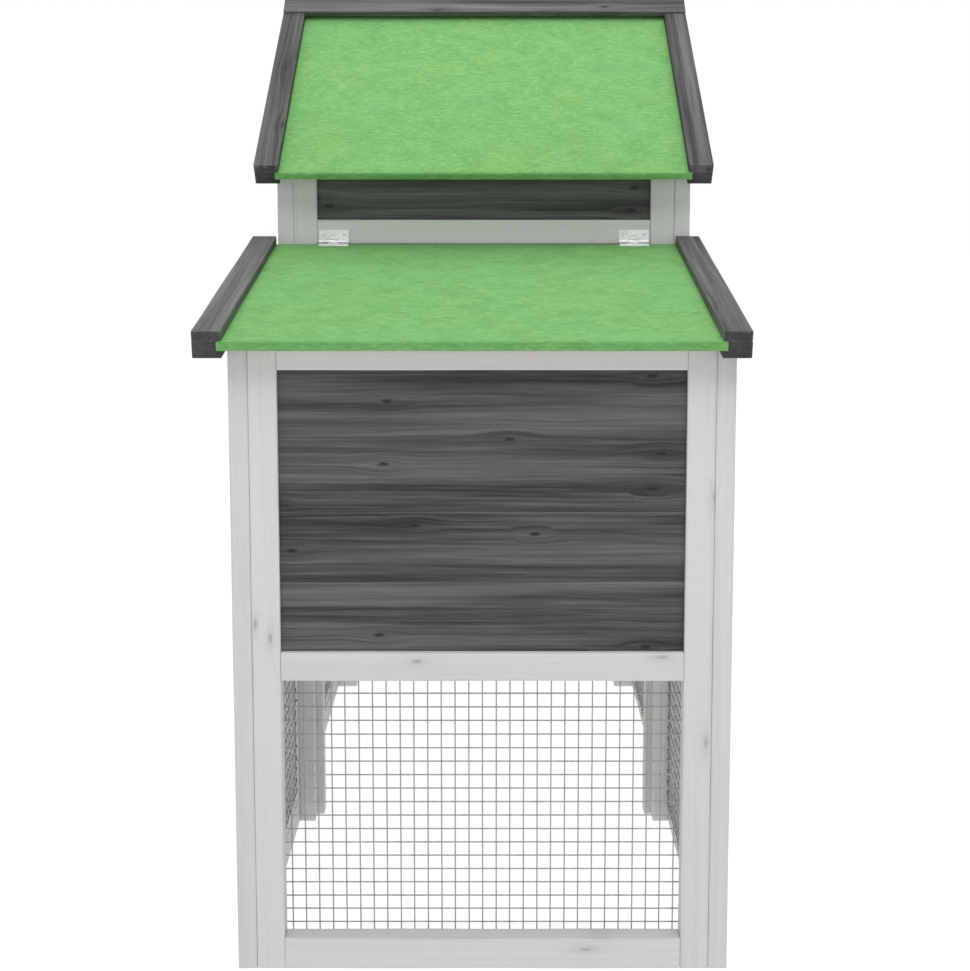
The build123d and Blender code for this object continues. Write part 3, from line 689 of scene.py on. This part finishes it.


def slope_frame(points, loops):
    """Where a roof sheet lies: the upper corner of its top face, the directions down the slope,
    across it and out of it, and the sheet's length, width and thickness."""
    out = max(loops, key=lambda face: face[1][2])[1]
    across = np.array([0.0, 1.0, 0.0])
    down = np.cross(across, out)
    down = down * (1 if down[2] < 0 else -1)
    axes = np.array([down, across, out])
    local = points @ axes.T
    low, high = local.min(0), local.max(0)
    return np.array([low[0], low[1], high[2]]) @ axes, axes, high - low


def felt_profile(length, bend, lip):
    """The line that a felt sheet follows down its slope, as the distances down the slope, below
    its plane and along the line, and the tilt: a straight run, a quarter circle, a straight lip."""
    run = np.linspace(0, length - bend, RUN_ROWS)
    turn = np.linspace(0, math.pi / 2, TURN_ROWS + 1)[1:]
    drop = np.linspace(0, lip - bend, LIP_ROWS + 1)[1:]
    along = np.concatenate([run, length - bend + bend * np.sin(turn), length + 0 * drop])
    sink = np.concatenate([0 * run, bend * (1 - np.cos(turn)), bend + drop])
    travel = np.concatenate([[0], np.hypot(np.diff(along), np.diff(sink)).cumsum()])
    return along, sink, travel, np.concatenate([0 * run, turn, math.pi / 2 + 0 * drop])


def felt_waves(s, y, run, width, a, b):
    """How a felt sheet rises and falls: sin(7 s + 5 y + a) sin(9 y - 4 s + b) and two finer waves,
    faded to nothing along the edges and before the fold."""
    wave = np.sin(7 * s + 5 * y + a) * np.sin(9 * y - 4 * s + b)
    wave = wave + 0.4 * np.sin(31 * s + 9 * y + b) * np.sin(24 * y + a)
    wave = wave + 0.18 * np.sin(83 * s - 40 * y + a) * np.sin(71 * y + 35 * s)
    fade = np.clip((y - FLAT_RIM) / 0.05, 0, 1) * np.clip((width - FLAT_RIM - y) / 0.05, 0, 1)
    return wave * fade * np.clip(s / 0.03, 0, 1) * np.clip((run - s) / 0.04, 0, 1)


def felt_sheet(node):
    """Roofing felt over each board of a roof, folded down over the board's eave edge.

    Its outer face is the felt's profile carried across the slope, and the inner face is the same
    one thickness further in. s is the distance along the profile and y the distance across."""
    sizes = bpy.context.scene.hutch_sizes
    bend = sizes.felt_bend
    piece = Piece(f"{node}_sheet", node)
    draw = draws_for(node)
    for points, triangles in solids_of(node):
        top, (down, across, out), (length, width, thick) = slope_frame(points, facets(points, triangles))
        along, sink, travel, tilt = felt_profile(length, bend, sizes.felt_lip)
        s, y = np.meshgrid(travel, np.linspace(0, width, FELT_COLUMNS), indexing="ij")
        lift = sizes.felt_wave * felt_waves(s, y, length - bend, width, *draw.uniform(0, 6, 2))
        faces = []
        for depth in (0.0, thick):
            u = (along - depth * np.sin(tilt))[:, None] + 0 * y
            w = (-sink - depth * np.cos(tilt))[:, None] + lift
            faces.append(top + u[..., None] * down + y[..., None] * across + w[..., None] * out)
        surface = np.concatenate([face.reshape(-1, 3) for face in faces])
        number = np.arange(s.size).reshape(s.shape)
        outer = np.stack([number[:-1, :-1], number[1:, :-1], number[1:, 1:], number[:-1, 1:]], -1)
        outer = outer.reshape(-1, 4)
        inner = outer[:, ::-1] + s.size
        rim = np.concatenate([number[:-1, 0], number[-1, :-1], number[:0:-1, -1], number[0, :0:-1]])
        after = np.roll(rim, -1)
        edge = np.stack([rim, rim + s.size, after + s.size, after], -1)
        quads = np.concatenate([outer, inner, edge])
        if np.dot(np.cross(down, across), out) < 0:
            quads = quads[:, ::-1]
        offset = draw.uniform(0, 9, 3)
        grain = np.stack([s, y, 0 * s], -1).reshape(-1, 3) + offset
        # painted shade: a darker band round the middle of the fold's bend
        fold = np.exp(-(((s - (length - bend * 0.2)) / FOLD_SHADE_REACH) ** 2)).reshape(-1)
        piece.add(surface, quads, grain=np.tile(grain, (2, 1)), fold=np.tile(fold, 2))
    piece.make(crease=60.0)


def short_of_eave(room):
    """A change to a roof board: its eave edge drawn back by room, to leave space for the felt."""

    def reshape(points):
        out = np.sign(points[:, 0].mean())
        edge = points[:, 0] * out
        down = points[edge.argmax()] - points[edge.argmin()]
        down = unit(down * np.array([1.0, 0.0, 1.0]))
        outer = edge > edge.mean()
        return points - outer[:, None] * room * down

    return reshape


# ---- wires, staples, screws ----

WIRE_ROUND = 0.58  # radius of a round wire, in widths of its square bar
WIRE_SIDES = 8
STRAY = 0.00012  # how far a wire's ends usually are out of true, and at most
MOST_STRAY = 0.0003
STAPLE_ROWS = 9
STAPLE_SIDES = 5
STAPLE_WIRE = 0.75  # thickness of a staple's wire, in widths of a mesh bar
STAPLE_HOOP = 2.9  # height of its hoop, in thicknesses
STAPLE_SINK = 0.3  # how far its legs start behind the mesh wire's middle, in thicknesses
HEAD_RINGS = (0.02, 0.16, 0.30, 0.46, 0.60, 0.66, 0.80, 0.92, 1.0, 1.0)
HEAD_SIDES = 32
DOME = 0.20  # height of a head's dome, in radii of the head, as its rings are and all down to SUNK
RIM = 0.06
CROSS_HALF = 0.13  # half the width of its cross
CROSS_DEPTH = 0.34
CROSS_REACH = 0.63
SUNK = 0.25  # how far its rim goes into the plate
LEAF_SPOTS = (-0.68, 0.0, 0.68)  # a hinge leaf's screws, in half lengths from its middle
LEAF_MARGIN = 0.0058  # from a leaf's outer edge to its screws
LEAF_STAGGER = 0.0014  # how much further in the middle one is
EDGE_STRIP = 0.0005  # corners this near a leaf's outer edge lie on its outer face
PLATE_SIDE = 0.0065  # a bolt plate's screws, from its middle along the bar
PLATE_RISE = 0.0075  # and above and below it
KEEPER_SIDE = 0.0038  # the same along a keeper's plate, away from its loop
KEEPER_REACH = 0.02  # a keeper's loop is nearer than this to its plate
PLATE_THICKNESS = 0.0013  # a base plate is thinner than this
PLATE_WIDTH = 0.01  # and wider than this
BOX_CORNERS = 8  # a hinge leaf with its knuckles has more
PLATE_SCREW = 0.72  # size of a bolt plate's screws beside those of a hinge


def wire_line(points):
    """The two ends of a wire's centre line, and its width."""
    low, high = points.min(0), points.max(0)
    along = (high - low).argmax()
    middle = (low + high) / 2
    start, end = middle.copy(), middle.copy()
    start[along], end[along] = low[along], high[along]
    return start, end, (high - low).min()


def wires(node):
    """Round wires along the centre lines of a mesh sheet's bars, each a little out of true."""
    draw = draws_for(node)
    piece = Piece(f"{node}_wires", node)
    for points, _ in solids_of(node):
        start, end, width = wire_line(points)
        stray = draw.normal(0, STRAY, (2, 3)).clip(-MOST_STRAY, MOST_STRAY)
        stray[:, (end - start).argmax()] = 0
        piece.add(*tube(start + stray[0], end + stray[1], WIRE_ROUND * width, WIRE_SIDES))
    piece.make(crease=60.0)


def staple(foot, along, out, width, wire):
    """A staple over a wire: a flattened hoop. Its line is a superellipse from leg to leg,
    x = w/2 cos(a)^0.5, z = h sin(a)^0.5, and a small round section is carried along it."""
    a = np.linspace(0, math.pi, STAPLE_ROWS)
    x = width / 2 * np.sign(np.cos(a)) * abs(np.cos(a)) ** 0.5
    z = STAPLE_HOOP * wire * np.sin(a).clip(0) ** 0.5
    line = foot + x[:, None] * along + (z - STAPLE_SINK * wire)[:, None] * out
    tangent = unit(np.gradient(line, axis=0))
    side = np.cross(along, out)
    normal = np.cross(side, tangent)
    angle = around(STAPLE_SIDES)
    ring = np.cos(angle)[None, :, None] * side - np.sin(angle)[None, :, None] * normal[:, None]
    points = (line[:, None] + 0.5 * wire * ring).reshape(-1, 3)
    return points, *skin(STAPLE_ROWS, STAPLE_SIDES)


def mesh_staples(node, step, width):
    """Staples over the border wires of a mesh sheet."""
    lines = [wire_line(points) for points, _ in solids_of(node)]
    low = np.min([line[0] for line in lines], 0)
    high = np.max([line[1] for line in lines], 0)
    flat = (high - low).argmin()
    out = np.zeros(3)
    out[flat] = -np.sign((low + high)[flat] / 2)
    piece = Piece(f"{node}_staples", node)
    for start, end, thick in lines:
        run = end - start
        along = abs(run).argmax()
        other = 3 - flat - along
        if min(abs(start[other] - low[other]), abs(start[other] - high[other])) > thick:
            continue
        count = max(2, round(run[along] / step))
        across = np.eye(3)[other]
        for share in (np.arange(count) + 0.5) / count:
            piece.add(*staple(start + share * run, across, out, width, thick * STAPLE_WIRE))
    piece.make(replaces=False, crease=50.0)


def screw_head(centre, out, turn, radius):
    """A countersunk screw's head with a cross recess: a height over a disc.

    The height at distance r is h (1 - (r/R)^2) above a low rim, and the recess cuts it down by
    c where |x| or |y| is under the cross's half width, within the cross's reach."""
    r, angle = np.meshgrid(np.array(HEAD_RINGS) * radius, around(HEAD_SIDES), indexing="ij")
    x, y = r * np.cos(angle), r * np.sin(angle)
    height = DOME * radius * (1 - (r / radius) ** 2) + RIM * radius
    cross = np.minimum(abs(x), abs(y)) < CROSS_HALF * radius
    height = height - CROSS_DEPTH * radius * (cross & (r < CROSS_REACH * radius))
    height[-1] = -SUNK * radius
    side = np.cross(out, turn)
    points = centre + x[..., None] * turn + y[..., None] * side + height[..., None] * out
    return points.reshape(-1, 3), *skin(*r.shape)


def leaf_places(points, triangles):
    """Where a hinge leaf's three screws go, and the way that its outer face looks. The plate is
    the broad flat part, and the knuckle's points show which way is out and which way is in."""
    a, b, c = (points[triangles[:, k]] for k in range(3))
    areas = np.cross(b - a, c - a)
    broad = np.linalg.norm(areas, axis=1).argmax()
    out = unit(areas[broad])
    axis = np.eye(3)[(points.max(0) - points.min(0)).argmax()]
    level = points @ out
    plate = a[broad] @ out
    if level.max() - plate < plate - level.min():
        out, level = -out, -level
    reach = np.cross(axis, out)
    far = points @ reach
    if far.max() - far.mean() < far.mean() - far.min():
        reach, far = -reach, -far
    outer = level[far > far.max() - EDGE_STRIP].max()
    middle = (points @ axis).min() / 2 + (points @ axis).max() / 2
    half = np.ptp(points @ axis) / 2
    places = []
    for spot in LEAF_SPOTS:
        inset = LEAF_MARGIN + LEAF_STAGGER * (spot == 0)
        places.append((far.max() - inset) * reach + (middle + spot * half) * axis + outer * out)
    return places, out


def plate_places(points, solids):
    """Where the screws of a bolt's base plate go, above and below the bar, and clear of the loop
    on a keeper, whose plate is short."""
    low, high = points.min(0), points.max(0)
    middle = (low + high) / 2
    spots = (-PLATE_SIDE, PLATE_SIDE)
    if high[0] - low[0] < high[2] - low[2]:
        centres = [other.mean(0) for other, _ in solids]
        loops = [centre[0] for centre in centres if 0 < np.linalg.norm(centre - middle) < KEEPER_REACH]
        spots = (KEEPER_SIDE * np.sign(middle[0] - np.mean(loops)),)
    rises = (-PLATE_RISE, PLATE_RISE)
    places = [np.array([middle[0] + x, low[1], middle[2] + z]) for x in spots for z in rises]
    return places, np.array([0.0, -1.0, 0.0])


def hardware_screws(node):
    """The screws of every hinge leaf and bolt plate in a CAD node."""
    radius = bpy.context.scene.hutch_sizes.screw_radius
    draw = draws_for(node)
    piece = Piece(f"{node}_screws", node)
    solids = solids_of(node)
    for points, triangles in solids:
        thickness, width, _ = np.sort(np.ptp(points, axis=0))
        if len(points) > BOX_CORNERS:
            spots, out = leaf_places(points, triangles)
            scale = 1.0
        elif thickness < PLATE_THICKNESS and width > PLATE_WIDTH:
            spots, out = plate_places(points, solids)
            scale = PLATE_SCREW
        else:
            continue
        start = unit(np.cross(out, (0.2, 0.5, 0.8)))
        for spot in spots:
            angle = draw.uniform(0, math.pi)
            turn = math.cos(angle) * start + math.sin(angle) * np.cross(out, start)
            piece.add(*screw_head(spot, out, turn, radius * scale))
    piece.make(replaces=False, crease=35.0)


def eased_metal(node, width):
    """A merged copy of a CAD node with its flat faces whole and its sharp edges bevelled."""
    work = bmesh.new()
    for points, triangles in solids_of(node):
        corners = [work.verts.new(point) for point in points]
        for triangle in triangles.tolist():
            work.faces.new([corners[k] for k in triangle])
    bmesh.ops.dissolve_limit(work, angle_limit=math.radians(1.0), verts=work.verts, edges=work.edges)
    mesh = bpy.data.meshes.new(f"{node}_metal")
    work.to_mesh(mesh)
    work.free()
    bevel = place_piece(mesh, node, replaces=True, crease=38.0).modifiers.new("edges", "BEVEL")
    bevel.width = width
    bevel.segments = 2
    bevel.limit_method = "ANGLE"
    bevel.angle_limit = math.radians(50.0)


# ---- stage ----

FLOOR_RINGS = 24
FLOOR_SIDES = 64
FLOOR_REACH = 12  # radius of the floor, in lengths of the hutch
PALE_TO = 0.16  # height on the sky's unit sphere up to which it is pale
DIM_FROM = 0.42  # and from which it is dim
LAMP_TURN = 0.12  # how far the ring of lamps is turned from the hutch's long axis
LAMP_REACH = 1.7  # from the hutch's middle to a lamp, along the ground
LAMP_RISE = 1.9  # from the ridge up to a lamp
LAMP_SIZE = 2.2
SHIFT = (-0.0059, -0.19)  # half of what keeps uprights parallel: more would cut off other views


def flat_floor(reach):
    """A round floor: rings of points at growing distance, r = reach k^2, around the middle."""
    share = np.linspace(0.02, 1, FLOOR_RINGS) ** 2
    r, angle = np.meshgrid(share * reach, around(FLOOR_SIDES), indexing="ij")
    points = np.stack([r * np.cos(angle), r * np.sin(angle), 0 * r], -1).reshape(-1, 3)
    quads, caps = skin(FLOOR_RINGS, FLOOR_SIDES)
    mesh = bpy.data.meshes.new("studio_floor")
    mesh.from_pydata(points.tolist(), [], quads.tolist() + caps[:1])
    mesh.materials.append(floor_paint(bpy.context.scene.hutch_colours))
    add_object("studio_floor", mesh)


def area_light(name, place, target, size, power):
    """A soft square light that faces target."""
    light = bpy.data.lights.new(name, "AREA")
    light.size = size
    light.energy = power
    lamp = add_object(name, light)
    lamp.location = place
    lamp.rotation_euler = (Vector(target) - Vector(place)).to_track_quat("-Z", "Y").to_euler()


def pale_world(low, high):
    """Nearly white surroundings, dimmer overhead, where the lamps are."""
    world = bpy.data.worlds.new("pale_world")
    world.use_nodes = True
    nodes = world.node_tree.nodes
    links = world.node_tree.links
    direction = nodes.new("ShaderNodeTexCoord")
    parts = nodes.new("ShaderNodeSeparateXYZ")
    ramp = nodes.new("ShaderNodeMapRange")
    ramp.interpolation_type = "SMOOTHSTEP"
    for name, value in {"From Min": PALE_TO, "From Max": DIM_FROM, "To Min": low, "To Max": high}.items():
        ramp.inputs[name].default_value = value
    links.new(direction.outputs["Generated"], parts.inputs[0])
    links.new(parts.outputs["Z"], ramp.inputs["Value"])
    links.new(ramp.outputs["Result"], nodes["Background"].inputs["Strength"])
    nodes["Background"].inputs["Color"].default_value = (1.0, 1.0, 1.0, 1.0)
    bpy.context.scene.world = world


# ---- operators ----


class HUTCH_OT_pale_frames(bpy.types.Operator):
    """Make the pale sticks: wall, tower and door frames, posts and bearers"""

    bl_idname = "hutch.pale_frames"
    bl_label = "Pale frames"

    def execute(self, context):
        timber_pieces("sticks", context.scene.hutch_sizes.stick_edge, "end_frame", "wing_front_frame",
                      "wing_back_frame", "tower_front_frame", "tower_back_frame", "tower_side_frame",
                      "corner_battens", "door_frame")
        return {"FINISHED"}


class HUTCH_OT_dark_planks(bpy.types.Operator):
    """Make the stained planks of walls, gables, partitions and the upper door"""

    bl_idname = "hutch.dark_planks"
    bl_label = "Dark planks"

    def execute(self, context):
        timber_pieces("boards", context.scene.hutch_sizes.board_edge, "end_planks", "wing_front_planks",
                      "back_planks", "gable_planks", "tower_side_planks", "door_planks")
        return {"FINISHED"}


class HUTCH_OT_roof_trim(bpy.types.Operator):
    """Make the capping strips, battens and ridge boards"""

    bl_idname = "hutch.roof_trim"
    bl_label = "Roof trim"

    def execute(self, context):
        timber_pieces("strips", context.scene.hutch_sizes.stick_edge,
                      "wing_roof_trim", "tower_roof_trim", "ridge_boards")
        return {"FINISHED"}


class HUTCH_OT_bare_boards(bpy.types.Operator):
    """Make the floor boards, the ramp and the boards under the felt"""

    bl_idname = "hutch.bare_boards"
    bl_label = "Bare boards"

    def execute(self, context):
        sizes = context.scene.hutch_sizes
        timber_pieces("boards", sizes.board_edge, "floor_boards", "ramp_board", "ramp_treads")
        timber_pieces("sheets", sizes.board_edge, "wing_roof_board", "tower_roof_board",
                      reshape=short_of_eave(sizes.eave_room))
        return {"FINISHED"}


class HUTCH_OT_felt(bpy.types.Operator):
    """Lay the roofing felt and fold it over the eaves"""

    bl_idname = "hutch.felt"
    bl_label = "Roofing felt"

    def execute(self, context):
        for node in nodes_named("wing_roof_felt", "tower_roof_felt"):
            felt_sheet(node)
        return {"FINISHED"}


class HUTCH_OT_mesh(bpy.types.Operator):
    """Make the welded wires of each mesh sheet, and the staples that hold them"""

    bl_idname = "hutch.mesh"
    bl_label = "Wire mesh"

    def execute(self, context):
        sizes = context.scene.hutch_sizes
        for node in nodes_named("end_mesh", "back_mesh", "door_mesh"):
            wires(node)
            mesh_staples(node, sizes.staple_step, sizes.staple_width)
        return {"FINISHED"}


class HUTCH_OT_hardware(bpy.types.Operator):
    """Make the hinges, bolts and keepers, and their screws"""

    bl_idname = "hutch.hardware"
    bl_label = "Hinges and bolts"

    def execute(self, context):
        sizes = context.scene.hutch_sizes
        plates = nodes_named("roof_hinge_plates", "wing_roof_hinge_leaves", "door_hinge_plates",
                             "door_hardware", "bolt_keepers", "ramp_hinge_leaves")
        for node in plates:
            eased_metal(node, sizes.metal_edge)
            hardware_screws(node)
        for node in nodes_named("door_bolt"):
            eased_metal(node, sizes.metal_edge)
        return {"FINISHED"}


class HUTCH_OT_stage(bpy.types.Operator):
    """Set up the floor, the lights, the surroundings and the camera"""

    bl_idname = "hutch.stage"
    bl_label = "Stage"

    def execute(self, context):
        stage = context.scene.hutch_stage
        low, high = np.array(CAD_BOX, float)
        middle = (low + high) / 2
        flat_floor(FLOOR_REACH * (high - low)[0])
        pale_world(stage.sky, stage.overhead)
        powers = (stage.key_power, stage.fill_power, stage.fill_power, stage.fill_power)
        for number, power in enumerate(powers):
            turn = number * math.pi / 2 + LAMP_TURN
            place = (middle[0] + LAMP_REACH * math.cos(turn), middle[1] + LAMP_REACH * math.sin(turn),
                     high[2] + LAMP_RISE)
            area_light(f"softbox_{number}", place, middle, LAMP_SIZE, power)
        camera = bpy.data.cameras.new("camera")
        camera.lens = stage.lens
        camera.shift_x, camera.shift_y = SHIFT
        viewer = add_object("camera", camera)
        viewer.location = (high[0] + stage.distance, middle[1] + stage.aside, stage.height)
        viewer.rotation_euler = (math.radians(90) - stage.pitch, 0.0, math.radians(90))
        context.scene.camera = viewer
        context.scene.view_settings.view_transform = "Standard"
        return {"FINISHED"}


OPERATORS = (
    HUTCH_OT_pale_frames,
    HUTCH_OT_dark_planks,
    HUTCH_OT_roof_trim,
    HUTCH_OT_bare_boards,
    HUTCH_OT_felt,
    HUTCH_OT_mesh,
    HUTCH_OT_hardware,
    HUTCH_OT_stage,
)


class HUTCH_PT_build(bpy.types.Panel):
    """Lists the settings and the steps"""

    bl_label = "Rabbit hutch"
    bl_idname = "HUTCH_PT_build"
    bl_space_type = "VIEW_3D"
    bl_region_type = "UI"
    bl_category = "Hutch"

    def draw(self, context):
        scene = context.scene
        for group in (scene.hutch_sizes, scene.hutch_colours, scene.hutch_stage):
            box = self.layout.box()
            for name in group.bl_rna.properties.keys():
                if name not in ("rna_type", "name"):
                    box.prop(group, name)
        for operator in OPERATORS:
            self.layout.operator(operator.bl_idname)


GROUPS = {"hutch_sizes": HutchSizes, "hutch_colours": HutchColours, "hutch_stage": HutchStage}


def register():
    for group in (*GROUPS.values(), *OPERATORS, HUTCH_PT_build):
        bpy.utils.register_class(group)
    for name, group in GROUPS.items():
        setattr(bpy.types.Scene, name, PointerProperty(type=group))


def unregister():
    for name in GROUPS:
        delattr(bpy.types.Scene, name)
    for group in (HUTCH_PT_build, *reversed(OPERATORS), *GROUPS.values()):
        bpy.utils.unregister_class(group)


def main():
    """Build everything in order."""
    register()
    bpy.ops.hutch.pale_frames()
    bpy.ops.hutch.dark_planks()
    bpy.ops.hutch.roof_trim()
    bpy.ops.hutch.bare_boards()
    bpy.ops.hutch.felt()
    bpy.ops.hutch.mesh()
    bpy.ops.hutch.hardware()
    bpy.ops.hutch.stage()


if __name__ == "__main__":
    main()
